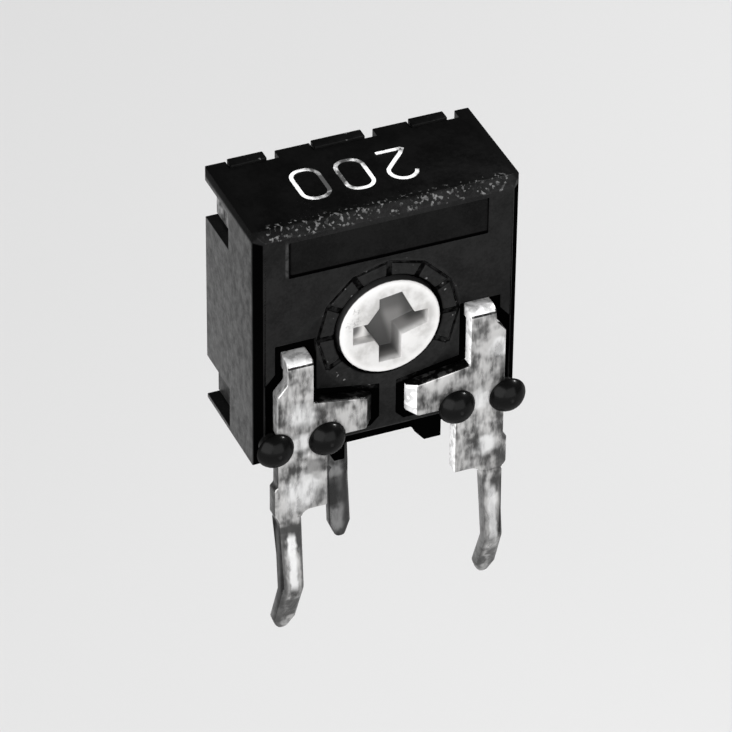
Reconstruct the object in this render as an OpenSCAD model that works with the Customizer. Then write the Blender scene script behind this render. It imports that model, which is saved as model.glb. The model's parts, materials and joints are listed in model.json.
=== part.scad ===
// Single-turn carbon trimmer potentiometer for upright board mounting, adjusted from the front.
// Housing frame: X across the front face, Y from the front face to the back, Z up from the underside.
// The part's own frame sits on the board, in the middle of the pin pattern (see in_frame).

/* [Housing] */
// Width of the housing
body_w = 6.6; // [6.5:0.1:8]
// Height of the housing
body_h = 6.6; // [6.3:0.1:8]
// Depth of the housing, front face to back
body_d = 3.15; // [3.05:0.05:4]
// Thickness of the two side walls
side_wall = 0.55; // [0.45:0.05:0.6]
// Thickness of the top wall
top_wall = 0.5; // [0.4:0.05:0.7]
// Thickness of the bottom wall
floor_wall = 0.55; // [0.45:0.05:0.6]
// Thickness of the front wall
front_wall = 0.78; // [0.74:0.02:0.9]
// Chamfer along the side and top front edges
edge_chamfer = 0.22; // [0.1:0.02:0.3]
// Height of the chamfer along the bottom front edge
low_chamfer_h = 0.42; // [0.3:0.02:0.46]
// Depth of the chamfer along the bottom front edge
low_chamfer_d = 0.25; // [0.1:0.01:0.3]
// Clearance of pieces that drop in and stay put
fit = 0.03; // [0.02:0.01:0.05]

/* [Front face] */
// Width of the sunk marking panel
panel_w = 4.94; // [4:0.1:5.4]
// Height of the sunk marking panel
panel_h = 0.98; // [0.6:0.02:1]
// Distance of the panel's middle below the top
panel_drop = 0.86; // [0.84:0.01:0.92]
// Depth of the sunk marking panel
panel_sink = 0.07; // [0.04:0.01:0.15]
// Distance of the dial blocks' outer edge from the rotor axis
dial_r = 1.74; // [1.68:0.02:1.78]
// Number of dial divisions in a full circle
dial_divisions = 12; // [8:1:16]
// Number of dial blocks on each side of the top mark
dial_blocks = 4; // [2:1:4]
// Width of the grooves between the dial blocks
dial_groove = 0.14; // [0.08:0.01:0.16]
// Width of the groove along the dial blocks' outer edges
dial_rim = 0.07; // [0.05:0.01:0.12]
// Depth of the grooves around the dial blocks
dial_sink = 0.07; // [0.04:0.01:0.12]
// Lead-in around the rotor's opening
opening_lead = 0.08; // [0.04:0.01:0.12]

/* [Rotor] */
// Diameter of the rotor's face
rotor_d = 2.52; // [2.3:0.02:2.56]
// Height of the rotor axis above the underside
axis_z = 3.33; // [3.3:0.01:3.4]
// How far the rotor's face stands proud of the front
rotor_proud = 0.12; // [0.05:0.01:0.25]
// Radial running clearance of the rotor
run_gap = 0.05; // [0.03:0.01:0.08]
// Width of the retaining flange behind the front wall's lip, beyond the rotor's face
flange_step = 0.16; // [0.14:0.01:0.18]
// Thickness of the lip that holds the flange behind the front face
lip_t = 0.42; // [0.3:0.01:0.44]
// Height of the stop lug on the flange
lug_h = 0.26; // [0.15:0.01:0.28]
// Angular width of the stop lug
lug_angle = 24; // [16:1:30]
// Mechanical travel from stop to stop
travel = 235; // [200:5:270]
// Diameter of the hub that carries the wiper
hub_d = 2.0; // [1.8:0.05:2.2]
// Diameter of the spigot that turns in the collector
spigot_d = 1.0; // [0.8:0.05:1.1]

/* [Screwdriver slot] */
// Width of the cross slot's arms
slot_w = 0.56; // [0.4:0.02:0.6]
// Length of the cross slot, end to end
slot_l = 1.86; // [1.6:0.02:2]
// Depth of the cross slot
slot_depth = 0.62; // [0.4:0.02:0.8]
// Depth of the shallow arm beside the pointer
shallow_depth = 0.26; // [0.15:0.01:0.35]
// Reach of the pointer's tip from the axis
pointer_reach = 0.58; // [0.5:0.02:0.7]

/* [Resistor plate] */
// Thickness of the phenolic plate
plate_t = 0.5; // [0.4:0.02:0.6]
// Thickness of the printed layers
print_t = 0.03; // [0.02:0.005:0.04]
// Inner radius of the carbon track
track_in = 1.3; // [1.25:0.02:1.36]
// Outer radius of the carbon track
track_out = 1.8; // [1.7:0.02:1.84]
// Angle that the carbon track covers
track_angle = 216; // [190:2:220]

/* [Terminals] */
// Distance between the two end pins
pin_pitch = 5.08; // [5:0.02:5.1]
// Distance from the end pins' row to the centre pin
row_pitch = 2.54; // [2.5:0.01:2.6]
// Thickness of the end terminals' strip
strip_t = 0.35; // [0.3:0.01:0.37]
// How far the end terminals stand proud of the front face
strip_proud = 0.29; // [0.2:0.01:0.3]
// Width of the pins
pin_w = 0.5; // [0.4:0.02:0.56]
// Height of the underside above the board
stand_h = 1.25; // [1.1:0.05:2]
// Length of the end pins below the board
end_pin_l = 3.5; // [3:0.1:4.5]
// Length of the centre pin below the board
centre_pin_l = 3.0; // [2.8:0.1:4]
// Forward set of the end pins where they kink
pin_lean = 0.28; // [0.1:0.02:0.4]
// Backward set of the end pins' tips from the kink
pin_kick = 0.6; // [0.3:0.02:0.8]
// Gap round the end terminals in their recess
recess_gap = 0.17; // [0.1:0.01:0.18]
// Gap along the end terminals' outer edges in their recess
outer_gap = 0.2; // [0.1:0.01:0.2]
// How much lower the left terminal's shoulder sits than the right one's
left_shoulder_drop = 0.42; // [0:0.02:0.5]
// How much lower the left terminal's prong is bent than the right one's
left_prong_drop = 0.24; // [0:0.02:0.3]
// Thickness of the centre terminal's strip
collector_t = 0.3; // [0.25:0.01:0.35]
// Diameter of the collector ring
collector_d = 2.6; // [2.4:0.05:2.8]

/* [Studs] */
// Diameter of the four studs
stud_d = 0.6; // [0.5:0.02:0.64]
// Diameter of their domed heads
head_d = 0.94; // [0.8:0.02:0.96]
// Height of their domed heads
head_h = 0.33; // [0.2:0.01:0.36]
// Distance between the two studs of one terminal
stud_pitch = 1.295; // [1.25:0.005:1.32]
// Height of the studs above the underside
stud_z = 0.71; // [0.68:0.01:0.74]

/* [Rear cover] */
// Thickness of the rear cover
cover_t = 0.3; // [0.2:0.02:0.35]
// Width of the two outer top tabs
tab_w = 0.88; // [0.6:0.02:1]
// Width of the middle top tab
mid_tab_w = 1.25; // [0.8:0.05:1.4]
// Distance between neighbouring top tabs
tab_pitch = 2.26; // [2.2:0.02:2.3]
// Open gap beside each top tab
tab_gap = 0.3; // [0.1:0.02:0.34]
// How far the top tabs stand proud
tab_proud = 0.06; // [0:0.01:0.1]
// Depth of the side notches below the side faces
notch_sink = 0.28; // [0.15:0.01:0.3]
// Distance of the side notches' front end from the front face
notch_front = 1.7; // [1.5:0.05:1.9]
// Height of the upper side notches
notch_h = 1.0; // [0.7:0.05:1.1]
// Height of the lower side notches
low_notch_h = 1.1; // [0.7:0.05:1.2]

/* [Wiper] */
// Thickness of the wiper's spring sheet
wiper_t = 0.12; // [0.08:0.01:0.14]
// Width of the contact fingers
finger_w = 0.26; // [0.2:0.02:0.3]
// Gap kept under each contact tip
tip_gap = 0.02; // [0.01:0.005:0.03]

/* [Hidden] */
$fn = 64;
e = 0.01;

// housing
cavity_x = body_w / 2 - side_wall;
cavity_top = body_h - top_wall;
cover_y = body_d - cover_t;
tab_shift = -0.06;
strip_relief = 0.02;
recess_depth = strip_t - strip_proud + strip_relief;
window_top = 3.43;
rib_x = 0.21;
panel_z = body_h - panel_drop;
low_notch_z = 0.12;
notch_drop = 0.4;
notch_rows = [[low_notch_z, low_notch_z + low_notch_h],
              [body_h - notch_drop - notch_h, body_h - notch_drop]];
foot_y = [0.05, 0.9];
foot_drop = 0.3;
right_foot = [0.72, 1.4];
right_foot_slope = 0.25;
left_foot = [-1.42, -1.05];
left_foot_slope = 0.1;
stud_r = stud_d / 2;
stud_root = 0.1;

// rotor, its pocket and its stop
rotor_r = rotor_d / 2;
rotor_soft = 0.05;
flange_r = rotor_r + flange_step;
lug_r = flange_r + lug_h;
end_play = 0.02;
flange_y = lip_t + end_play;
flange_back = front_wall - 2 * end_play;
hub_r = hub_d / 2;
spigot_r = spigot_d / 2;
spigot_end = cover_y - 0.05;
stop_angle = 360 - travel - lug_angle;
pointer_z = [0.05, 0.2];
pointer_root_z = 0.6;
slot_soft = 0.08;
slot_flare = 0.6;
slot_lift = 0.18;
shallow_step = 0.06;

// resistor plate and its printed layers
plate_back = front_wall + plate_t;
print_back = plate_back + print_t;
pad_angle = 20;
pad_edge = 0.15;
pad_top = axis_z + track_out * cos(track_angle / 2) - fit;

// end terminals, for the side at +X
front_y = -row_pitch / 2 - strip_t / 2 + strip_proud;
pin_x = pin_pitch / 2;
end_pin_z = -stand_h - end_pin_l;
strip_edge = 0.43;
strip_w = 0.9;
strip_top_w = 0.65;
strip_out = body_w / 2 - strip_edge;
strip_in = strip_out - strip_w;
strip_top_out = strip_in + strip_top_w;
stud_inset = 0.58;
waist_x = strip_out - stud_inset;
stud_in = waist_x - stud_pitch / 2;
stud_out = waist_x + stud_pitch / 2;
shoulder_z = [2.9, 2.6];
prong_top = 3.3;
prong_low = prong_top - strip_t;
clinch_low = 2.35;
clinch_t = 0.25;
arm_end = 0.66;
arm_tip = 0.43;
arm_tip_y = 0.24;
arm_low = 0.7;
arm_high = [1.8, 1.52];
arm_taper = 0.08;
blade_in = pin_x - 0.92;
blade_out = pin_x + 0.42;
blade_step_z = -0.42;
blade_slope = 0.1;
pin_slope = 0.25;
bend_r = 0.22;
bend_steps = 6;
pin_fillet = 0.25;
tip_w = 0.2;
tip_taper = 0.4;
kink_drop = 2.0;
kink_run = 0.1;

// centre terminal
collector_r = collector_d / 2;
collector_y = cover_y - collector_t;
centre_shoulder = 0.64;
centre_blade_w = pin_w + centre_shoulder;
centre_pin_y = row_pitch - strip_proud + strip_t / 2 - collector_t / 2;
centre_pin_z = -stand_h - centre_pin_l;
centre_jog_z = -0.4;
centre_kink_drop = 1.0;
centre_kick = 0.08;

// wiper
wiper_lift = 0.31;
wiper_y = print_back + wiper_lift;
ring_edge = 0.1;
arm_w = 0.3;
finger_angle = 44;
finger_root = 0.1;
finger_tip = [0.08, 0.34];
tip_roll = 0.05;
tongue_edge = 0.02;

// Moves the housing frame onto the board plane, in the middle of the pin pattern.
module in_frame() {
    translate([0, front_y, stand_h]) children();
}

// A front outline (X, Z) given depth from y0 to y1.
module slab(y0, y1) {
    translate([0, y1, 0]) rotate([90, 0, 0]) linear_extrude(y1 - y0) children();
}

// A side outline (Y, Z) given width from x0 to x1.
module bar(x0, x1) {
    translate([x0, 0, 0]) rotate([90, 0, 90]) linear_extrude(x1 - x0) children();
}

// A half profile (radius, Y) turned about the rotor axis.
module turned() {
    translate([0, 0, axis_z]) rotate([-90, 0, 0]) rotate_extrude() children();
}

// Draws its children on both sides of the middle plane.
module both_sides() {
    children();
    mirror([1, 0]) children();
}

module rect(x0, x1, z0, z1) {
    translate([x0, z0]) square([x1 - x0, z1 - z0]);
}

// A ring sector about the rotor axis: radii r0 to r1, half_angle each side of the top.
module sector(r0, r1, half_angle) {
    reach = 2 * r1;
    steps = ceil(half_angle / 30);
    fan = [for (i = [-steps:steps]) reach * [sin(i * half_angle / steps), cos(i * half_angle / steps)]];
    translate([0, axis_z]) intersection() {
        difference() {
            circle(r1);
            circle(r0);
        }
        polygon(concat([[0, 0]], fan));
    }
}

// ---- housing ----

module housing_block() {
    c = edge_chamfer;
    w = body_w / 2;
    intersection() {
        linear_extrude(body_h) polygon([[-w, body_d], [-w, c], [c - w, 0], [w - c, 0], [w, c], [w, body_d]]);
        bar(-w, w) polygon([[low_chamfer_d, 0], [body_d, 0], [body_d, body_h], [c, body_h],
                            [0, body_h - c], [0, low_chamfer_h]]);
    }
}

// Sunk seat of one end terminal in the front face.
module terminal_seat(shoulder_drop) {
    g = recess_gap;
    polygon([
        [strip_in - g, window_top], [strip_top_out + outer_gap, window_top],
        [strip_top_out + outer_gap, shoulder_z[0] - shoulder_drop + g],
        [strip_out + outer_gap, shoulder_z[1] - shoulder_drop + g],
        [strip_out + outer_gap, -body_h], [blade_in - g, -body_h], [blade_in - g, arm_low - g],
        [2 * rib_x, arm_low - g], [rib_x, arm_low + rib_x - g], [rib_x, arm_high[1] + g],
        [strip_in - g, arm_high[0] + g]]);
}

// Way for one prong through the front wall.
module prong_window(prong_drop) {
    rect(strip_in - fit, strip_top_out + fit, prong_low - prong_drop - fit, window_top - prong_drop);
}

module dial_grooves() {
    step = 360 / dial_divisions;
    chord = 2 * dial_r * tan(step / 2);
    translate([0, axis_z]) {
        for (i = [-dial_blocks:dial_blocks])
            rotate(i * step) rect(-dial_groove / 2, dial_groove / 2, rotor_r, dial_r);
        for (i = [0:dial_blocks - 1], s = [-1, 1])
            rotate(s * (i + 0.5) * step) rect(-chord / 2, chord / 2, dial_r - dial_rim, dial_r);
    }
}

// Openings for the cover's top tabs, each with a gap beside the tab.
module tab_notches() {
    for (i = [-1:1]) {
        w = i == 0 ? mid_tab_w : tab_w;
        translate([tab_shift + i * tab_pitch - w / 2 - fit, cover_y, cavity_top - e])
            cube([w + fit + tab_gap, body_d, body_h]);
    }
}

module side_notches() {
    for (row = notch_rows)
        slab(notch_front, body_d + e) both_sides()
            rect(cavity_x - e, body_w, row[0], row[1]);
}

module stud() {
    slab(-strip_proud - e, recess_depth + stud_root) circle(stud_r);
    translate([0, -strip_proud, 0]) rotate([90, 0, 0]) rotate_extrude() intersection() {
        translate([0, (head_h * head_h - head_d * head_d / 4) / (2 * head_h)])
            circle((head_h * head_h + head_d * head_d / 4) / (2 * head_h));
        square([head_d, head_h]);
    }
}

// Small foot under the front edge, sloped on its left side.
module foot(x, slope) {
    slab(foot_y[0], foot_y[1]) polygon([
        [x[0], low_chamfer_h], [x[0], 0], [x[0] + slope, -foot_drop], [x[1], -foot_drop],
        [x[1], low_chamfer_h]]);
}

module housing() {
    color([0.09, 0.09, 0.095]) {
        difference() {
            housing_block();
            slab(front_wall, body_d + e) rect(-cavity_x, cavity_x, floor_wall, cavity_top);
            slab(-e, lip_t + e) translate([0, axis_z]) circle(rotor_r + run_gap);
            slab(lip_t, front_wall + e) translate([0, axis_z]) circle(flange_r + run_gap);
            slab(lip_t, front_wall + e) sector(flange_r, lug_r + run_gap, 180 - stop_angle / 2);
            slab(-e, panel_sink) translate([0, panel_z]) square([panel_w, panel_h], center = true);
            slab(-e, dial_sink) dial_grooves();
            turned() polygon([
                [0, -e], [rotor_r + run_gap + opening_lead + e, -e],
                [rotor_r + run_gap, opening_lead], [0, opening_lead]]);
            slab(-e, recess_depth) {
                terminal_seat(0);
                mirror([1, 0]) terminal_seat(left_shoulder_drop);
            }
            slab(0, front_wall + e) {
                prong_window(0);
                mirror([1, 0]) prong_window(left_prong_drop);
            }
            tab_notches();
            side_notches();
            translate([-centre_blade_w / 2 - fit, collector_y - fit, -e])
                cube([centre_blade_w + 2 * fit, body_d, floor_wall + 2 * e]);
        }
        for (x = [stud_in, stud_out], s = [-1, 1])
            translate([s * x, 0, stud_z]) stud();
        foot(right_foot, right_foot_slope);
        foot(left_foot, left_foot_slope);
    }
}

// ---- rear cover ----

module rear_cover() {
    tongue_x = body_w / 2 - notch_sink;
    color([0.08, 0.08, 0.085]) {
        slab(cover_y, body_d) {
            rect(-cavity_x + fit, cavity_x - fit, floor_wall + fit, cavity_top - fit);
            rect(-centre_blade_w / 2, centre_blade_w / 2, 0, floor_wall + 2 * fit);
            for (i = [-1:1]) {
                w = i == 0 ? mid_tab_w : tab_w;
                x = tab_shift + i * tab_pitch;
                rect(x - w / 2, x + w / 2, cavity_top - 2 * fit, body_h + tab_proud);
            }
        }
        for (row = notch_rows)
            slab(notch_front + fit, body_d) both_sides()
                rect(cavity_x + fit, tongue_x, row[0] + fit, row[1] - fit);
        for (row = notch_rows)
            slab(cover_y, body_d) both_sides()
                rect(cavity_x - 2 * fit, cavity_x + 2 * fit, max(row[0], floor_wall) + fit,
                     min(row[1], cavity_top) - fit);
    }
}

// ---- rotor and wiper ----

// Outline of the deep part of the slot: a cross whose left side is cut to a pointer.
module slot_outline() {
    a = slot_w / 2;
    l = slot_l / 2;
    polygon([
        [-a, l - slot_soft], [a, l], [slot_flare, a], [l, a], [l, slot_lift - a], [a, -a], [a, -l], [-a, -l],
        [-a, -l / 2], [-pointer_reach, pointer_z[0]], [-pointer_reach, pointer_z[1]],
        [-a, pointer_root_z]]);
}

module rotor() {
    face = -rotor_proud;
    color([0.93, 0.91, 0.86]) difference() {
        union() {
            turned() polygon([
                [0, face], [rotor_r - rotor_soft, face], [rotor_r, face + rotor_soft],
                [rotor_r, flange_y], [flange_r, flange_y], [flange_r, flange_back],
                [hub_r, flange_back], [hub_r, wiper_y], [spigot_r, wiper_y],
                [spigot_r, spigot_end], [0, spigot_end]]);
            slab(flange_y, flange_back) sector(rotor_r, lug_r, lug_angle / 2);
        }
        slab(face - e, face + slot_depth) translate([0, axis_z]) slot_outline();
        slab(face - e, face + shallow_depth) translate([0, axis_z])
            rect(-slot_l / 2, 0, -slot_w / 2, slot_w / 2 - shallow_step);
    }
}

// A sprung finger that follows a circle about the rotor axis, from a root arm down to a
// contact tip at tip_y. It lies above the axis, on the +X side.
module spring_finger(radius, tip_y) {
    t = wiper_t;
    s = sign(tip_y - wiper_y);
    root_x = radius * sin(finger_angle);
    root = s > 0 ? wiper_y : wiper_y + t;
    tip = tip_y - s * tip_gap;
    intersection() {
        slab(0, body_d) translate([0, axis_z]) difference() {
            circle(radius + finger_w / 2);
            circle(radius - finger_w / 2);
        }
        translate([0, 0, axis_z]) linear_extrude(body_h) polygon([
            [root_x + finger_root, root], [root_x - finger_root, root], [finger_tip[1], tip - s * t],
            [finger_tip[0], tip - s * (t + tip_roll)], [finger_tip[0], tip - s * tip_roll],
            [2 * finger_tip[0], tip], [finger_tip[1], tip], [root_x - finger_root, root + s * t],
            [root_x + finger_root, root + s * t]]);
    }
}

// Flat ring with two fingers forward on the track and two tongues back on the collector.
module wiper() {
    track_mid = (track_in + track_out) / 2;
    tongue_r = collector_r - finger_w / 2 - tongue_edge;
    color([0.78, 0.72, 0.55]) {
        slab(wiper_y, wiper_y + wiper_t) translate([0, axis_z]) difference() {
            union() {
                circle(hub_r + ring_edge);
                for (s = [-1, 1]) {
                    rotate(s * finger_angle) rect(-arm_w / 2, arm_w / 2, 0, track_mid + finger_w / 2);
                    rotate(s * finger_angle) rect(-arm_w / 2, arm_w / 2, -tongue_r - finger_w / 2, 0);
                }
            }
            circle(spigot_r + fit);
        }
        for (side = [0, 1]) mirror([side, 0, 0]) {
            spring_finger(track_mid, print_back);
            translate([0, 0, 2 * axis_z]) mirror([0, 0, 1]) spring_finger(tongue_r, collector_y);
        }
    }
}

// ---- resistor plate and its printed layers ----

module prong_slot(prong_drop) {
    rect(strip_in - fit, strip_top_out + fit, prong_low - prong_drop - fit, prong_top - prong_drop + fit);
}

module plate_outline() {
    rect(-cavity_x + fit, cavity_x - fit, floor_wall + fit, cavity_top - fit);
}

module resistor_plate() {
    color([0.55, 0.36, 0.2]) slab(front_wall, plate_back) difference() {
        plate_outline();
        translate([0, axis_z]) circle(hub_r + run_gap);
        prong_slot(0);
        mirror([1, 0]) prong_slot(left_prong_drop);
    }
}

module carbon_track() {
    color([0.12, 0.12, 0.13]) slab(plate_back, print_back) sector(track_in, track_out, track_angle / 2);
}

// Print that joins one end of the track to its terminal's prong.
module end_contact(prong_drop) {
    translate([0, axis_z]) rotate(-(track_angle + pad_angle) / 2) translate([0, -axis_z])
        sector(track_in, track_out, pad_angle / 2);
    rect(track_in, strip_top_out, clinch_low - prong_drop - pad_edge,
         min(pad_top, prong_low - prong_drop - fit));
}

// The silver prints at both ends of the track.
module end_contacts() {
    color([0.8, 0.8, 0.8]) slab(plate_back, print_back) {
        end_contact(0);
        mirror([1, 0]) end_contact(left_prong_drop);
    }
}

// ---- terminals ----

// Front outline of the end terminal at +X.
module end_terminal_front(shoulder_drop, prong_drop) {
    pin_out = pin_x + pin_w / 2;
    pin_in = pin_x - pin_w / 2;
    f = pin_fillet;
    fillet = [for (i = [0:bend_steps]) let (a = 90 * i / bend_steps)
              [pin_in - f + f * cos(a), -stand_h - f + f * sin(a)]];
    difference() {
        polygon(concat(
            [[strip_in, prong_top - prong_drop], [strip_top_out, prong_top - prong_drop],
             [strip_top_out, shoulder_z[0] - shoulder_drop], [strip_out, shoulder_z[1] - shoulder_drop],
             [strip_out, blade_step_z], [blade_out, blade_step_z - blade_slope],
             [blade_out, -stand_h], [pin_out, -stand_h - pin_slope], [pin_out, end_pin_z + tip_taper],
             [pin_x + tip_w / 2, end_pin_z], [pin_x - tip_w / 2, end_pin_z], [pin_in, end_pin_z + tip_taper]],
            fillet,
            [[blade_in, -stand_h], [blade_in, arm_low], [arm_end, arm_low],
             [arm_end, arm_high[1] + arm_taper], [strip_in, arm_high[0]]]));
        for (x = [stud_in, stud_out])
            translate([x, stud_z]) circle(stud_r + fit);
    }
}

// Side outline of an end terminal: bend at the top, flat strip, and the pin with its kink.
module end_terminal_side(prong_drop) {
    t = strip_t;
    top = prong_top - prong_drop;
    bend = [for (i = [bend_steps:-1:0]) let (a = 90 * i / bend_steps)
            [bend_r - bend_r * cos(a), top - bend_r + bend_r * sin(a)]];
    path = [[0, -stand_h - kink_run], [-pin_lean, -stand_h - kink_drop], [pin_kick - pin_lean, end_pin_z]];
    translate([-strip_proud, 0])
        polygon(concat(bend, path, [for (i = [2:-1:0]) path[i] + [t, 0]], [[t, top]]));
}

// Prong from the strip's top back through the plate, clinched down on the silver print.
module prong() {
    bend_end = bend_r - strip_proud;
    bar(strip_in, strip_top_out) polygon([
        [bend_end, prong_top], [bend_end, prong_low], [print_back, prong_low], [print_back, clinch_low],
        [print_back + clinch_t, clinch_low], [print_back + clinch_t, prong_top]]);
}

// The arm's end, bent back towards the housing.
module arm_tab() {
    intersection() {
        translate([0, -strip_proud, 0]) linear_extrude(body_h)
            polygon([[arm_end, 0], [arm_end, strip_t], [arm_tip, strip_t], [arm_tip, arm_tip_y]]);
        slab(-body_d, body_d) polygon([[arm_tip, arm_low + arm_taper], [arm_end, arm_low],
                                  [arm_end, arm_high[1] + arm_taper], [arm_tip, arm_high[1]]]);
    }
}

module end_terminal(shoulder_drop, prong_drop) {
    intersection() {
        slab(-body_d, body_d) end_terminal_front(shoulder_drop, prong_drop);
        bar(0, body_w) end_terminal_side(prong_drop);
    }
    translate([0, 0, -prong_drop]) prong();
    arm_tab();
}

module right_terminal() {
    color([0.8, 0.8, 0.82]) end_terminal(0, 0);
}

module left_terminal() {
    color([0.8, 0.8, 0.82]) mirror([1, 0, 0])
        end_terminal(left_shoulder_drop, left_prong_drop);
}

// Collector ring with its blade, jogged back to the centre pin's row.
module centre_terminal() {
    w = centre_blade_w / 2;
    left = -w;
    right = left + pin_w;
    middle = left + pin_w / 2;
    t = collector_t;
    y0 = collector_y;
    y1 = centre_pin_y;
    kink_z = -stand_h - centre_kink_drop;
    color([0.78, 0.78, 0.8]) intersection() {
        slab(0, 2 * body_d) difference() {
            union() {
                translate([0, axis_z]) circle(collector_r);
                polygon([
                    [left, axis_z], [left, centre_pin_z + tip_taper], [middle - tip_w / 2, centre_pin_z],
                    [middle + tip_w / 2, centre_pin_z], [right, centre_pin_z + tip_taper],
                    [right, -stand_h], [w, -stand_h], [w, axis_z]]);
            }
            translate([0, axis_z]) circle(spigot_r + run_gap);
        }
        bar(-body_w / 2, body_w / 2) polygon([
            [y0, body_h], [y0, 0], [y1, centre_jog_z], [y1, kink_z], [y1 - centre_kick, centre_pin_z],
            [y1 - centre_kick + t, centre_pin_z], [y1 + t, kink_z], [y1 + t, centre_jog_z],
            [y0 + t, 0], [y0 + t, body_h]]);
    }
}

in_frame() housing();
in_frame() rear_cover();
in_frame() rotor();
in_frame() wiper();
in_frame() resistor_plate();
in_frame() carbon_track();
in_frame() end_contacts();
in_frame() left_terminal();
in_frame() right_terminal();
in_frame() centre_terminal();
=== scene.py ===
"""Dresses a single-turn carbon trimmer: black moulded case, off-white rotor, tinned terminals.

Lengths are in millimetres until they reach Blender, which works in metres.
"""

import json
import math
from collections import namedtuple

import bmesh
import bpy
from mathutils import Matrix, Vector


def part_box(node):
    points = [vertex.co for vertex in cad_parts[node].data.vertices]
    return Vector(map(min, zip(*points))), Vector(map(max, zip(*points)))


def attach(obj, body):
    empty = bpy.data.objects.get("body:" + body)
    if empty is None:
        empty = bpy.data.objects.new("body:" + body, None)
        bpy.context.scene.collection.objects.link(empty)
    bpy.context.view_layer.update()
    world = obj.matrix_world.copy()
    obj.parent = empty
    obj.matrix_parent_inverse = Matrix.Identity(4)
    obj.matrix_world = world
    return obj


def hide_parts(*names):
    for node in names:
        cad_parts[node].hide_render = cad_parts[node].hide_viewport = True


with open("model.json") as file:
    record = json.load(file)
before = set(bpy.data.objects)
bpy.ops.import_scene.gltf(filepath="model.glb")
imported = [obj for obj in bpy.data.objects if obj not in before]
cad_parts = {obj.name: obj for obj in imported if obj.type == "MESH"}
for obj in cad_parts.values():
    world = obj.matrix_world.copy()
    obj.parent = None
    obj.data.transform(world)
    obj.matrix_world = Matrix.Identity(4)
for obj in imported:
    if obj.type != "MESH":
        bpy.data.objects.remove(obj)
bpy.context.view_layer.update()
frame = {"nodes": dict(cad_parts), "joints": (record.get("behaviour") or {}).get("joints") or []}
MM = 0.001


# ---- places on the object ----

rotor_turn = frame["joints"][0]
FRONT_Y = rotor_turn["pos_m"][1] / MM       # the case's front face, where the joint has its point
AXIS_Z = rotor_turn["pos_m"][2] / MM        # the rotor's axis, above the board
ROTOR_FACE_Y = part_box("rotor")[0][1] / MM   # the rotor's face, which stands proud of the case
TOP_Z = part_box("housing")[1][2] / MM        # the case's top face
HALF_W = 3.3                                # half the case's width
PANEL_HALF_W = 2.47                         # half the sunk panel's width
PANEL_Z, PANEL_TOP = 6.5, 7.48              # the sunk panel's bottom and top
DIAL_IN, DIAL_OUT = 1.42, 1.8               # the ring of dial blocks lies between these radii
ROTOR_R = 1.26                              # radius of the rotor's face
SLOT_REACH = 0.93                           # reach of the slot's arms from the axis
END_PIN_X = 2.54                            # the end pins stand this far to either side
CENTRE_PIN_X = -0.32
PRONG_FOLD = 4.0                            # the prongs' folded tops are above this
ARMS_TOP = 3.4                              # the terminals' arms are below this
BLADE_TOP = 1.7                             # and their blades below this
PIN_TOP = -0.1                              # and their pins below this
KINK_Z = -2.0                               # the end pins kink here
PIN_LENGTH = 3.5


# ---- shader maths ----

class Socket:
    """A shader output that takes part in Python expressions; each operation adds its Math node."""

    def __init__(self, finish, output):
        self.finish, self.output = finish, output

    def _math(self, operation, first, second):
        return self.finish.node("ShaderNodeMath", {"operation": operation}, {0: first, 1: second})

    def __add__(self, other):
        return self._math("ADD", self, other)

    def __mul__(self, other):
        return self._math("MULTIPLY", self, other)

    __radd__, __rmul__ = __add__, __mul__

    def __sub__(self, other):
        return self._math("SUBTRACT", self, other)

    def __rsub__(self, other):
        return self._math("SUBTRACT", other, self)


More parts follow.
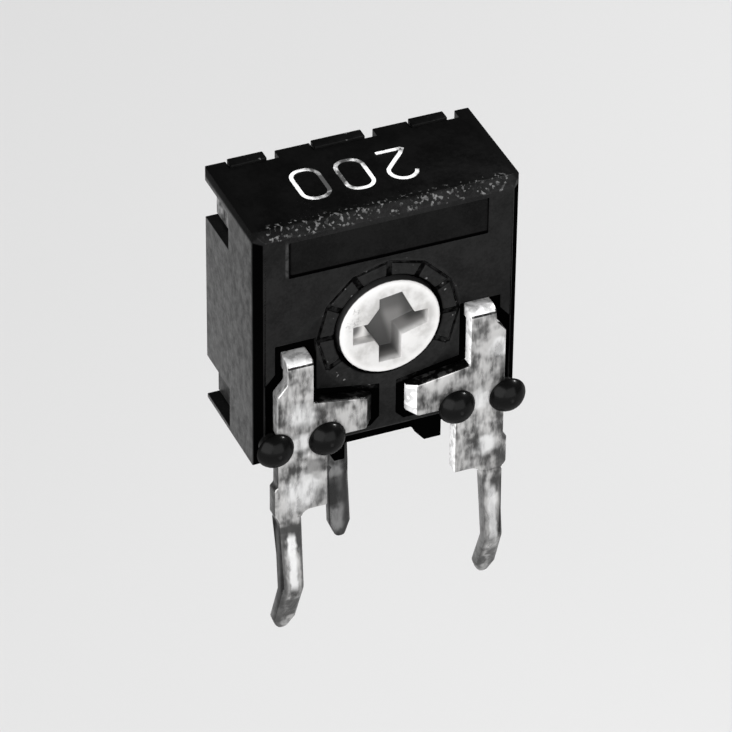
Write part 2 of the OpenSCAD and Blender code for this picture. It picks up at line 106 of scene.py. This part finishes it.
class Finish:
    """A procedural material. Its object coordinates are in millimetres."""

    def __init__(self, name, **constants):
        self.material = bpy.data.materials.new(name)
        self.material.use_nodes = True
        self.tree = self.material.node_tree
        self.shader = self.tree.nodes["Principled BSDF"]
        self.surface = Socket(self, self.shader.outputs[0])
        self.set_constants(self.shader, constants)
        coordinates = self.node("ShaderNodeTexCoord", output="Object")
        self.place = self.node("ShaderNodeVectorMath", {"operation": "SCALE"},
                               {"Vector": coordinates, "Scale": 1 / MM})
        self.x, self.y, self.z = (
            self.node("ShaderNodeSeparateXYZ", None, {"Vector": self.place}, output=axis) for axis in "XYZ")

    def set_constants(self, shader, constants):
        """Sets sockets of a shader; a name's underscores stand for the blanks in the socket's label."""
        for label, value in constants.items():
            shader.inputs[label.replace("_", " ")].default_value = value

    def node(self, kind, settings=None, sockets=None, output=0):
        """Adds a node: its settings first, then a value or a link for each named socket."""
        node = self.tree.nodes.new(kind)
        for key, value in (settings or {}).items():
            setattr(node, key, value)
        for key, value in (sockets or {}).items():
            if isinstance(value, Socket):
                self.tree.links.new(value.output, node.inputs[key])
            else:
                node.inputs[key].default_value = value
        return Socket(self, node.outputs[output])

    def stretched(self, x, y, z):
        """The place, scaled along each axis, for a pattern with a direction."""
        return self.node("ShaderNodeVectorMath", {"operation": "MULTIPLY"}, {0: self.place, 1: (x, y, z)})

    def noise(self, scale, detail=2.0, roughness=0.5, place=None):
        """An uneven pattern around 0.5; scale is how many of its humps fit on a millimetre."""
        return self.node("ShaderNodeTexNoise", None, {
            "Vector": place or self.place, "Scale": scale, "Detail": detail, "Roughness": roughness},
            output="Fac")

    def painted(self, name):
        """A number that the mesh itself carries for each of its faces."""
        return self.node("ShaderNodeAttribute", {"attribute_name": name}, output="Fac")

    def size_of(self, value):
        """The value without its sign."""
        return self.node("ShaderNodeMath", {"operation": "ABSOLUTE"}, {0: value})

    def off_axis(self, x, z):
        """Distance from the line along Y through (x, z)."""
        flat = self.stretched(1.0, 0.0, 1.0)
        return self.node("ShaderNodeVectorMath", {"operation": "DISTANCE"}, {0: flat, 1: (x, 0.0, z)},
                         output="Value")

    def fade(self, value, low, high, bottom=0.0, top=1.0):
        """Maps value from low..high to bottom..top, smoothly and within those ends."""
        return self.node("ShaderNodeMapRange", {"interpolation_type": "SMOOTHSTEP"}, {
            "Value": value, "From Min": low, "From Max": high, "To Min": bottom, "To Max": top})

    def band(self, value, low, full_from, full_to, high):
        """1 where value is from full_from to full_to, fading to 0 at low and at high."""
        return self.fade(value, low, full_from) * self.fade(value, high, full_to)

    def near(self, x, z, reach, ragged=0.0):
        """1 near the line along Y through (x, z), 0 from reach on, with an outline that can be ragged."""
        off = self.off_axis(x, z)
        if ragged:
            off = off + ragged * (self.noise(2.6, 1.5) - 0.5)
        return self.fade(off, reach, reach * 0.4)

    def mix(self, factor, first, second):
        """A colour between two: the first where factor is 0, the second where it is 1."""
        return self.node("ShaderNodeMix", {"data_type": "RGBA"}, {0: factor, 6: first, 7: second}, output=2)

    def coated(self, colour, coats):
        """A colour under coats, laid on in turn; each coat is where it lies and its colour."""
        for where, coat in coats:
            colour = self.mix(where, colour, coat)
        return colour

    def feed(self, label, value):
        """Links a value to a socket of the shader."""
        self.tree.links.new(value.output, self.shader.inputs[label])

    def blend_to(self, factor, **constants):
        """Mixes in a second surface, with its own constants, where factor is 1."""
        second = self.tree.nodes.new("ShaderNodeBsdfPrincipled")
        self.set_constants(second, constants)
        self.surface = self.node("ShaderNodeMixShader", None, {
            0: factor, 1: self.surface, 2: Socket(self, second.outputs[0])})
        self.tree.links.new(self.surface.output, self.tree.nodes["Material Output"].inputs["Surface"])

    def bump(self, height, depth, strength):
        """Relief whose full height is depth millimetres."""
        self.feed("Normal", self.node("ShaderNodeBump", None, {
            "Height": height, "Distance": depth * MM, "Strength": strength}))


def grey(value, warmth=0.0):
    """A grey as a colour; warmth shifts it from blue to red."""
    return (value * (1 + warmth), value, value * (1 - warmth), 1.0)


# ---- the black case ----

class CasePlaces:
    """Places on the black case and its cover: each is 1 there and 0 elsewhere.

    The tabs and tongues are the cover's, the heads are those of the studs.
    """

    def __init__(self, f):
        depth = f.y - FRONT_Y
        from_side = HALF_W - f.size_of(f.x)
        self.top = f.fade(f.z, TOP_Z - 0.03, TOP_Z - 0.01)
        self.tabs = f.fade(f.z, TOP_Z + 0.04, TOP_Z + 0.05)
        self.sides = f.fade(from_side, 0.01, 0.004) * f.fade(depth, 0.2, 0.3)
        self.tongues = f.fade(from_side, 0.31, 0.29)
        self.heads = f.fade(depth, -0.28, -0.3)
        self.front_top_edge = (f.fade(depth, 0.42, 0.3) * f.fade(f.z, TOP_Z - 0.27, TOP_Z - 0.2)
                               * f.fade(from_side, 0.2, 0.4))
        self.lit_right_edge = (f.fade(f.x, HALF_W - 0.07, HALF_W - 0.03) * f.fade(depth, 0.2, 0.1)
                           * f.fade(f.z, AXIS_Z - 0.18, AXIS_Z + 0.12))
        self.shaded_top_corners = f.fade(TOP_Z - f.z + from_side * 1.7, 0.34, 0.22)
        self.dial = (f.band(f.off_axis(0.0, AXIS_Z), DIAL_IN - 0.06, DIAL_IN, DIAL_OUT, DIAL_OUT + 0.04)
                     * f.fade(depth, 0.4, 0.3))
        self.lit_panel_rim = (f.fade(f.size_of(f.x + PANEL_HALF_W + 0.06), 0.05, 0.02)
                          * f.band(f.z, PANEL_Z, PANEL_Z + 0.15, PANEL_TOP - 0.1, PANEL_TOP + 0.1)
                          * f.fade(depth, 0.02, 0.01))
        self.panel = self.sunk_panel(f)
        self.recesses = (f.band(depth, 0.01, 0.035, 0.4, 0.5) * f.fade(from_side, 0.004, 0.02)
                         * f.fade(f.z, TOP_Z - 0.24, TOP_Z - 0.3))

    def sunk_panel(self, f):
        """The panel's floor, except along its left and lower walls, which shade it."""
        inside = (f.fade(f.size_of(f.x), PANEL_HALF_W + 0.01, PANEL_HALF_W - 0.03)
                  * f.fade(f.z, PANEL_Z - 0.02, PANEL_Z + 0.02))
        by_left_wall = f.fade(f.x, 0.11 - PANEL_HALF_W, 0.01 - PANEL_HALF_W)
        by_lower_wall = f.fade(f.z, PANEL_Z + 0.08, PANEL_Z + 0.02)
        return inside * f.fade(by_left_wall + by_lower_wall, 1.0, 0.0)


def black_moulding(name, with_tongue_light=False):
    """Black plastic: satin front; paler sides and a darker top painted as the light falls; recesses and top
    corners painted black as shade; pale glints painted on rough grain along the top front edge, on the dial
    and on the tabs; painted highlights on the right front edge and the panel's left rim; when asked,
    painted light on the cover's tongues.
    """
    f = Finish(name, Specular_IOR_Level=0.09)
    case = CasePlaces(f)
    grain = f.noise(16.0, 3.0, 0.6)
    cloud = f.noise(1.3, 3.0, 0.6)
    fine = f.noise(7.0, 3.0, 0.6)
    streaks = f.noise(4.0, 4.0, 0.7, f.stretched(1.0, 1.0, 0.7))
    # rough grain along the top front edge; its pale colour below is painted glints
    grit_and_glints = case.front_top_edge * f.fade(f.noise(11.0, 1.0), 0.57, 0.68)
    # painted glints: pale flecks on the dial blocks and the cover's tabs
    glint_flecks = f.fade(f.noise(6.0), 0.68, 0.72) * (case.dial + case.tabs)

    satin = f.mix(f.fade(cloud * 0.6 + grain * 0.4, 0.36, 0.64), grey(0.003), grey(0.009))
    # painted light: the sides are far paler than the front, as lit from the left
    lit_side_grey = f.mix(f.fade(streaks * 0.7 + cloud * 0.3, 0.34, 0.66), grey(0.028), grey(0.084))
    # painted glints: the pale specks in that rough grain
    painted_glint_grey = f.mix(f.fade(fine, 0.35, 0.65), grey(0.02), grey(0.14))
    coats = [
        # painted shade: the top darker than the front
        (0.8 * case.top, grey(0.001)),
        (case.sides, lit_side_grey),
        (grit_and_glints, painted_glint_grey),
        # painted highlight along the right front edge
        (case.lit_right_edge * f.fade(fine, 0.48, 0.6), grey(0.12)),
        # painted highlight along the panel's left rim
        (case.lit_panel_rim * f.fade(fine, 0.3, 0.6, 0.2, 1.0), grey(0.035)),
        (case.dial * f.fade(fine, 0.35, 0.65, 0.2, 0.9), grey(0.012)),
        (glint_flecks, grey(0.14)),
    ]
    if with_tongue_light:
        # painted light on the cover's tongues where they show at the sides: paler, and more so higher up
        tongue_light = case.tongues * f.fade(f.noise(3.0, 3.0, 0.6), 0.36, 0.6, 0.15, 1.0)
        coats.append((tongue_light, f.mix(f.fade(f.z, 2.2, 6.0), grey(0.03), grey(0.26))))
    f.feed("Base Color", f.coated(satin, coats))
    f.feed("Roughness", f.fade(cloud * 0.5 + fine * 0.5, 0.36, 0.64, 0.34, 0.52))
    f.bump(grain + 1.5 * grit_and_glints, 0.008, 0.5)

    # painted shade: recesses near black, less on the panel's floor and partly in the dial's grooves
    recess_shade = case.recesses * (1 - 0.55 * case.panel) * (1 - case.dial * f.fade(fine, 0.38, 0.62, 0.1, 0.75))
    f.blend_to(recess_shade, Base_Color=grey(0.0006), Roughness=0.9, Specular_IOR_Level=0.0)
    # painted shade: black bands along the top corners
    f.blend_to(case.shaded_top_corners, Base_Color=grey(0.002), Roughness=0.7, Specular_IOR_Level=0.05)
    f.blend_to(case.heads, Base_Color=grey(0.0015), Roughness=0.6, Specular_IOR_Level=0.02,
               Coat_Weight=0.17, Coat_Roughness=0.21)
    return f.material


# ---- the rotor ----

def rotor_moulding():
    """Off-white plastic: greyer patches to the upper left; a slot painted in shade, with painted light and
    shade on its floor and a pale left arm with a painted shadow at its end; an outer wall painted dark as
    shade.
    """
    f = Finish("off_white_rotor", Roughness=0.45)
    depth = f.y - ROTOR_FACE_Y
    from_axis = f.off_axis(0.0, AXIS_Z)
    upper_left_greying = (f.fade(f.noise(3.4, 4.0, 0.7), 0.54, 0.66) * f.fade(f.x, -0.4, -1.0)
              * f.fade(f.z, AXIS_Z + 0.02, AXIS_Z + 0.42))
    face = f.mix(f.fade(f.noise(1.6, 4.0, 0.6), 0.36, 0.6), grey(0.38, 0.02), grey(0.54, 0.01))
    face = f.coated(face, [
        (f.fade(from_axis, ROTOR_R - 0.26, ROTOR_R - 0.06, 0.0, 0.8), grey(0.64, 0.01)),
        (upper_left_greying, grey(0.2, 0.02)),
    ])
    lit_floor = (f.fade(f.x + 0.29 * (f.z - AXIS_Z), -0.05, 0.15) * f.fade(f.x, 0.7, 0.4)
                 * f.fade(f.z, AXIS_Z - 0.1, AXIS_Z + 0.2, 1.0, 0.35))
    floor_light_and_shade = f.mix(lit_floor, grey(0.06, 0.02), grey(0.17, 0.02))
    # painted shade: the slot's walls grey, its floor with painted light towards the middle-right and
    # painted shade to the left
    slot = f.coated(grey(0.2, 0.02), [
        (f.fade(depth, 0.1, 0.5), floor_light_and_shade),      # deeper in, that floor; then the left arm paler, and a painted shadow at its end
        (f.fade(f.x, -0.42, -0.6), grey(0.6, 0.02)),
        (f.near(0.05 - SLOT_REACH, AXIS_Z, 0.34), grey(0.12, 0.02)),
    ])
    # painted shade: the rotor's outer wall dark, where it stands proud of the case
    shaded_outer_wall = f.fade(from_axis, ROTOR_R - 0.06, ROTOR_R - 0.02) * f.fade(depth, 0.04, 0.07)
    f.feed("Base Color", f.coated(face, [(f.fade(depth, 0.02, 0.26), slot), (shaded_outer_wall, grey(0.02))]))
    f.bump(f.noise(8.0), 0.006, 0.4)
    return f.material


# ---- the terminals ----

# Patches of the tin: x, z and reach of each.
PALE_TIN = [(-2.27, 0.55, 0.62), (-2.32, 1.95, 0.36), (-2.3, 2.78, 0.5), (2.72, 3.4, 0.34),
            (2.35, 2.03, 0.36), (2.42, 0.65, 0.36), (-0.4, -1.12, 0.3), (-0.34, -2.6, 0.55)]
# The first dark patch, under the left inner stud's head, is painted reflection and shadow of that head.
DARK_TIN = [(-1.85, 1.2, 0.32), (-1.5, 2.9, 0.3), (2.2, 4.0, 0.3), (2.85, 0.0, 0.3), (-0.3, -1.75, 0.5)]


def tinned_sheet(name, dark, light, pale_line, tip_top):
    """Stamped strip with a mottled coat of tin; paint_sides marks the faces for its painted light and
    painted shade.

    The pins have painted shade at their edges and a painted highlight along pale_line, a distance to either
    side. Below tip_top they are painted in shade too.
    """
    f = Finish(name)
    patches = f.noise(1.5)
    streaks = f.noise(2.6, 3.0, 0.6, f.stretched(2.0, 2.0, 0.6))
    spots = f.noise(5.0, 1.0)
    painted_light = f.painted("painted_light")
    painted_shade = f.painted("painted_shade")
    brightest = grey(min(0.95, light[2] * 1.5))

    coats = [(f.near(*patch, 0.6) * f.fade(streaks, 0.35, 0.6, 0.55, 0.9), brightest) for patch in PALE_TIN]
    coats += [(f.near(*patch, 0.7) * 0.6, dark) for patch in DARK_TIN]
    off_line = f.size_of(f.size_of(f.x) - pale_line) + 0.14 * (spots - 0.5)
    end_pins = f.fade(f.size_of(f.x), 1.0, 1.2)
    # painted highlight down the middle of each end pin; painted shade at the pins' edges, in a ring at the
    # left pin's crease and at the tips
    gleam = (f.fade(off_line, 0.13, 0.05) * f.band(f.z, KINK_Z - 0.2, KINK_Z + 0.1, -0.7, -0.5)
             * end_pins * f.fade(f.x, 0.1, -0.1, 0.6, 1.0))
    pin_edge_shade = f.fade(f.z, PIN_TOP - 0.1, PIN_TOP - 0.3) * f.fade(off_line, 0.12, 0.24, 0.0, 0.85)
    left_crease_shade = f.fade(f.size_of(f.z + 0.42), 0.12, 0.05) * f.fade(f.x, 0.1, -0.1)
    tip_shade = f.fade(f.z, tip_top, tip_top - 0.4) * f.fade(spots, 0.35, 0.6, 0.9, 0.4)
    coats += [
        (gleam, brightest),
        (pin_edge_shade, dark),
        # painted light: faces marked for it turn near white
        (painted_light * f.fade(spots, 0.4, 0.5, 0.55, 1.0), grey(0.9)),
        (f.fade(left_crease_shade + tip_shade, 0.0, 1.0, 0.0, 0.9), dark),
        # painted shade: faces marked for it turn near black
        (painted_shade * f.fade(streaks, 0.5, 0.64, 1.0, 0.8), grey(0.006)),
    ]
    mottle = f.fade(patches * 0.45 + streaks * 0.4 + spots * 0.15, 0.4, 0.6)
    f.feed("Base Color", f.coated(f.mix(mottle, dark, light), coats))
    f.feed("Metallic", f.fade(painted_light, 0.0, 1.0, 0.8, 0.1))
    f.feed("Roughness", f.fade(streaks, 0.3, 0.7, 0.24, 0.46))
    f.bump(patches + 0.4 * streaks + 0.2 * spots, 0.05, 0.8)
    return f.material


# ---- the pieces inside, and the ink ----

def sheet_metal(name, dark, light, roughness):
    """Bare metal with a faint cloudiness."""
    f = Finish(name, Metallic=1.0, Roughness=roughness)
    f.feed("Base Color", f.mix(f.fade(f.noise(5.0, 3.0), 0.35, 0.65), dark, light))
    return f.material


def printed_layer(name, dark, light, roughness):
    """A speckled layer without gloss, with a fine grain."""
    f = Finish(name, Roughness=roughness)
    speckle = f.noise(12.0, 3.0, 0.6)
    f.feed("Base Color", f.mix(f.fade(speckle, 0.35, 0.65), dark, light))
    f.bump(speckle, 0.003, 0.4)
    return f.material


def white_ink():
    """Stamped ink with thin places where the black shows through."""
    f = Finish("white_ink", Roughness=0.6)
    cover = f.fade(f.noise(1.1) * 0.7 + f.noise(6.0, 3.0, 0.6) * 0.3, 0.4, 0.54)
    f.feed("Base Color", f.mix(cover, grey(0.06), grey(0.95)))
    return f.material


end_tin = tinned_sheet("tinned_sheet", grey(0.06, 0.01), grey(0.52, 0.01), END_PIN_X + 0.02, KINK_Z - 0.2)
# painted shade: the centre terminal gets a darker copy of the tin, as it lies in the case's shade
shaded_centre_tin = tinned_sheet("shaded_centre_tin", grey(0.03), grey(0.15), 0.04 - CENTRE_PIN_X, KINK_Z - 0.7)
finishes = {
    "housing": black_moulding("black_case"),
    "rear_cover": black_moulding("black_cover", with_tongue_light=True),
    "rotor": rotor_moulding(),
    "wiper": sheet_metal("spring_bronze", (0.55, 0.38, 0.17, 1), (0.78, 0.6, 0.32, 1), 0.3),
    "resistor_plate": printed_layer("phenolic_plate", (0.2, 0.09, 0.035, 1), (0.3, 0.15, 0.06, 1), 0.5),
    "carbon_track": printed_layer("carbon_print", grey(0.012), grey(0.03), 0.4),
    "end_contacts": sheet_metal("silver_print", grey(0.5), grey(0.75), 0.45),
    "left_terminal": end_tin,
    "right_terminal": end_tin,
    "centre_terminal": shaded_centre_tin,
}
for node, finish in finishes.items():
    shown = frame["nodes"][node]
    shown.data.materials.clear()
    shown.data.materials.append(finish)


# ---- pieces with rounded edges ----

def add_piece(name, mesh, finish, body):
    """Makes an object of a mesh whose place is in its vertices, and lets it ride on a body."""
    mesh.materials.clear()
    mesh.materials.append(finish)
    piece = bpy.data.objects.new(name, mesh)
    bpy.context.scene.collection.objects.link(piece)
    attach(piece, body)
    return piece


# A pin as its tin and its handling leave it: the middle of its width, how many times as wide it is at
# its top and PIN_LENGTH further down, how far it leans to the right and hangs lower down there, and the
# rounding of its edges.
Pin = namedtuple("Pin", "middle top_width end_width lean drop rounding")
LEFT_PIN = Pin(middle=-END_PIN_X, top_width=1.28, end_width=1.14, lean=-0.1, drop=0.18, rounding=0.12)
RIGHT_PIN = Pin(middle=END_PIN_X, top_width=0.86, end_width=1.12, lean=0.05, drop=0.0, rounding=0.12)
CENTRE_PIN = Pin(middle=CENTRE_PIN_X, top_width=1.0, end_width=1.15, lean=0.1, drop=0.2, rounding=0.09)

MOULDED_ROUNDING = 0.02
END_STRIP_ROUNDING = 0.04
CENTRE_STRIP_ROUNDING = 0.03
WELD = 0.0005                       # vertices closer than this are one
SHARP_EDGE = math.radians(28)       # edges that bend more are rounded
SHADED_SHARP = math.radians(35)     # edges that still bend more afterwards are shaded as sharp
WIDENING_IN = 0.3                   # a pin's new width sets in over this length


def share(value):
    """The value, kept from 0 to 1."""
    return min(1.0, max(0.0, value))


def shape_pin(corner, pin):
    """Moves a corner of a terminal to its place on the pin, and leaves it alone above the pin's top."""
    x, y, z = corner.co / MM
    along = share((PIN_TOP - z) / PIN_LENGTH)
    start = share((PIN_TOP - z) / WIDENING_IN)
    widening = pin.top_width + (pin.end_width - pin.top_width) * along
    x = pin.middle + (x - pin.middle) * (1 + (widening - 1) * start) + pin.lean * along
    corner.co = Vector((x, y, z - pin.drop * along)) * MM


def paint_sides(work):
    """Marks faces of the tin: painted light on the right terminal's cut edges to the left, a little of the
    left one's, and the prongs' tops; painted shade on the edges to the right, the arms' upper edges, the
    fold under each prong's top, and the sides of the left blade and pin.
    """
    painted_light = work.faces.layers.float.new("painted_light")
    painted_shade = work.faces.layers.float.new("painted_shade")
    work.normal_update()
    for face in work.faces:
        middle = face.calc_center_median() / MM
        right, up = face.normal.x, face.normal.z
        if right < -0.7:
            if middle.x > 0:
                face[painted_light] = 0.1 if middle.z < PIN_TOP else 1.0
            elif middle.z > BLADE_TOP:
                face[painted_light] = 0.35
            else:
                face[painted_shade] = 0.8
        elif middle.z > PRONG_FOLD and up > 0.6:
            face[painted_light] = 0.75
        elif right > 0.6 or (middle.z < ARMS_TOP and up > 0.7):
            face[painted_shade] = 1.0
        elif middle.z > ARMS_TOP and 0.3 < up < 0.55:
            face[painted_shade] = 1.0


def round_edges(work, wanted, width, segments):
    """Rounds those sharp edges that the function wanted says yes to."""
    edges = [edge for edge in work.edges
             if edge.is_manifold and edge.calc_face_angle() > SHARP_EDGE and wanted(edge)]
    bmesh.ops.bevel(work, geom=edges, offset=width * MM, segments=segments, profile=0.5,
                    affect="EDGES", clamp_overlap=False, material=-1)


def on_pin(edge):
    """Whether an edge is all on a pin."""
    return all(corner.co.z < PIN_TOP * MM for corner in edge.verts)


def softened(node, body, rounding, pin=None):
    """Shows a copy of a CAD node with rounded edges, and on a terminal shapes its pin and marks its tin."""
    work = bmesh.new()
    work.from_mesh(frame["nodes"][node].data)
    bmesh.ops.remove_doubles(work, verts=work.verts, dist=WELD * MM)
    if pin:
        for corner in work.verts:
            shape_pin(corner, pin)
        round_edges(work, on_pin, pin.rounding, segments=4)
    round_edges(work, lambda edge: not (pin and on_pin(edge)), rounding, segments=2)
    if pin:
        paint_sides(work)
    mesh = bpy.data.meshes.new("rounded_" + node)
    work.to_mesh(mesh)
    work.free()
    mesh.shade_smooth()
    mesh.set_sharp_from_angle(angle=SHADED_SHARP)
    piece = add_piece("rounded_" + node, mesh, finishes[node], body)
    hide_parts(node)


softened("housing", "base", MOULDED_ROUNDING)
softened("rear_cover", "base", MOULDED_ROUNDING)
softened("rotor", "turning", MOULDED_ROUNDING)
softened("left_terminal", "base", END_STRIP_ROUNDING, LEFT_PIN)
softened("right_terminal", "base", END_STRIP_ROUNDING, RIGHT_PIN)
softened("centre_terminal", "base", CENTRE_STRIP_ROUNDING, CENTRE_PIN)


# ---- print on the top ----

DIGIT = Vector((0.33, 0.59))      # half size of a digit's centre line
CORNER = 0.29                     # radius of a nought's corners
STROKE = 0.095                    # width of a digit's line
INK = 0.012                       # thickness of the ink
DIGIT_PITCH = 1.095
PRINT_MIDDLE = Vector((-0.235, 0.4))


def arc(centre, radius, first, last, steps=8):
    """Points on an arc, from the first angle to the last, in degrees."""
    angles = [math.radians(first + (last - first) * i / steps) for i in range(steps + 1)]
    return [Vector((centre[0] + radius * math.cos(a), centre[1] + radius * math.sin(a))) for a in angles]


def nought():
    """Centre line of a nought: four arcs, joined into a ring."""
    x, y = DIGIT - Vector((CORNER, CORNER))
    return (arc((x, y), CORNER, 90, 0) + arc((x, -y), CORNER, 0, -90)
            + arc((-x, -y), CORNER, -90, -180) + arc((-x, y), CORNER, 180, 90))


def two():
    """Centre line of a two: a hook, a slanting stroke and a foot."""
    w, h = DIGIT
    hook = arc((0, h - w), w, 165, -25, 12)
    slant = [Vector((0.02, -0.18)), Vector((-0.2, -0.4)), Vector((-w, -h))]
    foot = [Vector((-w + 0.04, -h)), Vector((w, -h))]
    return hook + slant + foot


def ribbon(path, closed):
    """Corners on both sides of a centre line, two for each of its points."""
    corners = []
    count = len(path)
    for i, here in enumerate(path):
        before = path[i - 1] if closed or i else here
        after = path[(i + 1) % count] if closed or i < count - 1 else here
        along = (after - before).normalized()
        across = Vector((-along.y, along.x)) * STROKE / 2
        corners.append((here + across, here - across))
    return corners


def add_digit(work, centre, path, closed):
    """Adds a digit's raised ink, read from behind: its top points to the front."""
    def corner(point, height):
        return work.verts.new(Vector((centre.x - point.x, centre.y - point.y, TOP_Z + height)) * MM)

    rings = [(corner(left, 0.0), corner(right, 0.0), corner(right, INK), corner(left, INK))
             for left, right in ribbon(path, closed)]
    pairs = list(zip(rings, rings[1:]))
    if closed:
        pairs.append((rings[-1], rings[0]))
    else:
        work.faces.new(rings[0])
        work.faces.new(rings[-1])
    for near, far in pairs:
        for i in range(4):
            work.faces.new((near[i], near[(i + 1) % 4], far[(i + 1) % 4], far[i]))


def top_print(digits):
    """Mesh of the ink of a row of digits; each is its centre line and whether that closes."""
    work = bmesh.new()
    for place, (path, closed) in enumerate(digits):
        to_right = DIGIT_PITCH * ((len(digits) - 1) / 2 - place)
        add_digit(work, PRINT_MIDDLE + Vector((to_right, 0)), path, closed)
    bmesh.ops.recalc_face_normals(work, faces=work.faces)
    mesh = bpy.data.meshes.new("top_print")
    work.to_mesh(mesh)
    work.free()
    return mesh


print_mesh = top_print([(two(), False), (nought(), True), (nought(), True)])
add_piece("top_print", print_mesh, white_ink(), "base")


# ---- room ----

FLOOR_MIDDLE = Vector((0, 300, -14))
FLOOR_WIDTH = 1600.0
LIT_POINT = Vector((0, 0, 3))     # the lights point here


def box_light(name, place, size, power):
    """A rectangular light of a size in millimetres and a power in watts, turned to the lit point."""
    lamp = bpy.data.lights.new(name, "AREA")
    lamp.shape = "RECTANGLE"
    lamp.size, lamp.size_y = size[0] * MM, size[1] * MM
    lamp.energy = power
    light = bpy.data.objects.new(name, lamp)
    light.location = Vector(place) * MM
    light.rotation_euler = (LIT_POINT - Vector(place)).to_track_quat("-Z", "Y").to_euler()
    bpy.context.scene.collection.objects.link(light)


bpy.ops.mesh.primitive_plane_add(size=FLOOR_WIDTH * MM, location=FLOOR_MIDDLE * MM)
floor = bpy.context.object
floor.name = "floor"
paper = Finish("pale_paper", Roughness=0.9, Emission_Color=grey(1.0), Emission_Strength=0.27)
paper.feed("Base Color", paper.mix(paper.noise(0.02), grey(0.4), grey(0.42)))
floor.data.materials.append(paper.material)

bpy.context.scene.view_settings.view_transform = "Standard"
world = bpy.data.worlds.new("room")
bpy.context.scene.world = world
world.use_nodes = True
room_light = world.node_tree.nodes["Background"]
room_light.inputs["Color"].default_value = grey(0.08)
room_light.inputs["Strength"].default_value = 1.0

box_light("left_softbox", (-170, -110, 70), (260, 260), 0.8)
box_light("front_softbox", (30, -190, 60), (240, 180), 0.35)
box_light("right_spot", (116, 5, 96), (9, 9), 0.22)


# ---- camera, which looks down at the front from the left ----

AIM = Vector((0.078, 0.345, 2.354))
AZIMUTH = math.radians(22.964)
ELEVATION = math.radians(36.15)
ROLL = math.radians(0.615)
DISTANCE = 120.0
SENSOR = 36.0
LENS = 250.4262
NEAREST, FARTHEST = 10.0, 10000.0

level = math.cos(ELEVATION)
forward = Vector((math.sin(AZIMUTH) * level, math.cos(AZIMUTH) * level, -math.sin(ELEVATION)))
upright = forward.to_track_quat("-Z", "Y").to_matrix()
camera_data = bpy.data.cameras.new("camera")
camera_data.sensor_width = SENSOR
camera_data.lens = LENS
camera_data.clip_start = NEAREST * MM
camera_data.clip_end = FARTHEST * MM
camera = bpy.data.objects.new("camera", camera_data)
camera.location = (AIM - forward * DISTANCE) * MM
camera.rotation_euler = (upright @ Matrix.Rotation(ROLL, 3, "Z")).to_euler()
bpy.context.scene.collection.objects.link(camera)
bpy.context.scene.camera = camera
